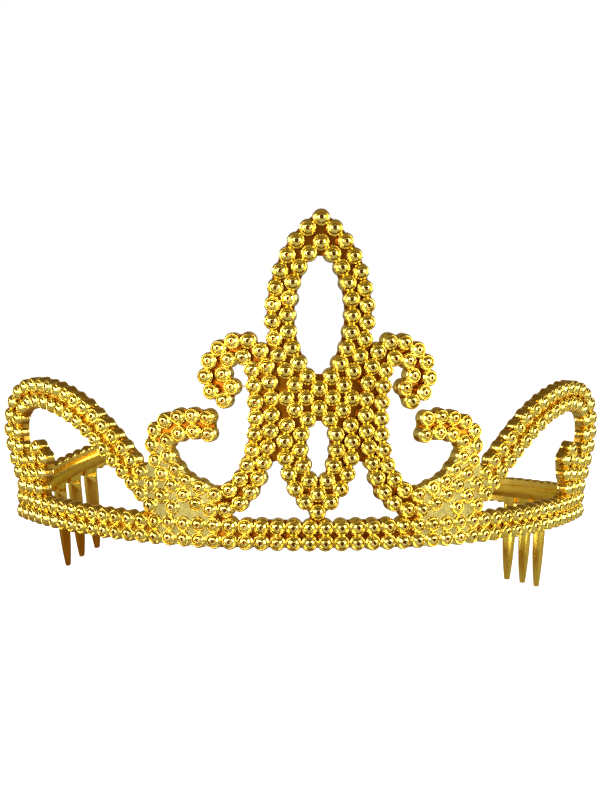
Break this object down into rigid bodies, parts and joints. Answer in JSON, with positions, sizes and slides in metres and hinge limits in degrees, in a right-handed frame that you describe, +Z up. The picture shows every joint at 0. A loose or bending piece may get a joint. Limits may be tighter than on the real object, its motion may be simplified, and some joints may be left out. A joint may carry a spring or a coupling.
{
  "type": "beaded tiara",
  "caption": "Beaded gold plastic tiara with a pointed crest, scrolls and side loops, and two fold-in side arms that carry hair combs.",
  "frame": {"origin": "on the inner face of the band, at the middle of the front and half way up the band, where the tiara lies against the hair", "axes": "+Z up, the beaded front faces -Y, +X along the front towards the right arm as +Y is looked along"},
  "size_m": [0.1458, 0.0921, 0.096],
  "materials": {
    "gold_beads": "vacuum-metallised gold over moulded plastic, mirror-like domes",
    "gold_rail": "vacuum-metallised gold over moulded plastic, slightly uneven",
    "gold_web": "vacuum-metallised pale gold, smooth flat web",
    "gold_comb": "vacuum-metallised gold over moulded plastic, drawn along the tooth"
  },
  "bodies": {
    "front": {"band_beads_lower": "gold_beads", "band_beads_upper": "gold_beads", "band_rail": "gold_rail", "band_spine": "gold_rail", "bud_beads_left": "gold_beads", "bud_beads_right": "gold_beads", "bud_rail_left": "gold_rail", "bud_rail_right": "gold_rail", "crest_beads": "gold_beads", "crest_rail": "gold_rail", "hinge_web_left": "gold_rail", "hinge_web_right": "gold_rail", "hook_beads_left": "gold_beads", "hook_beads_right": "gold_beads", "hook_rail_left": "gold_rail", "hook_rail_right": "gold_rail", "loop_beads_left": "gold_beads", "loop_beads_right": "gold_beads", "loop_rail_left": "gold_rail", "loop_rail_right": "gold_rail", "scroll_beads_left": "gold_beads", "scroll_beads_right": "gold_beads", "scroll_rail_left": "gold_rail", "scroll_rail_right": "gold_rail", "web_plate_left": "gold_web", "web_plate_right": "gold_web"},
    "right_arm": {"arm_beads_right": "gold_beads", "arm_rail_right": "gold_rail", "comb_spine_right": "gold_rail", "comb_tooth_1_right": "gold_comb", "comb_tooth_2_right": "gold_comb", "comb_tooth_3_right": "gold_comb"},
    "left_arm": {"arm_beads_left": "gold_beads", "arm_rail_left": "gold_rail", "comb_spine_left": "gold_rail", "comb_tooth_1_left": "gold_comb", "comb_tooth_2_left": "gold_comb", "comb_tooth_3_left": "gold_comb"}
  },
  "joints": [
    {"name": "right_arm_fold", "type": "hinge", "parent": "front", "child": "right_arm", "pos_m": [0.06761, 0.04208, 0], "axis": [0, 0, 1], "range_deg": [-27, 45]},
    {"name": "left_arm_fold", "type": "hinge", "parent": "front", "child": "left_arm", "pos_m": [-0.06761, 0.04208, 0], "axis": [0, 0, -1], "range_deg": [-34, 38]}
  ]
}
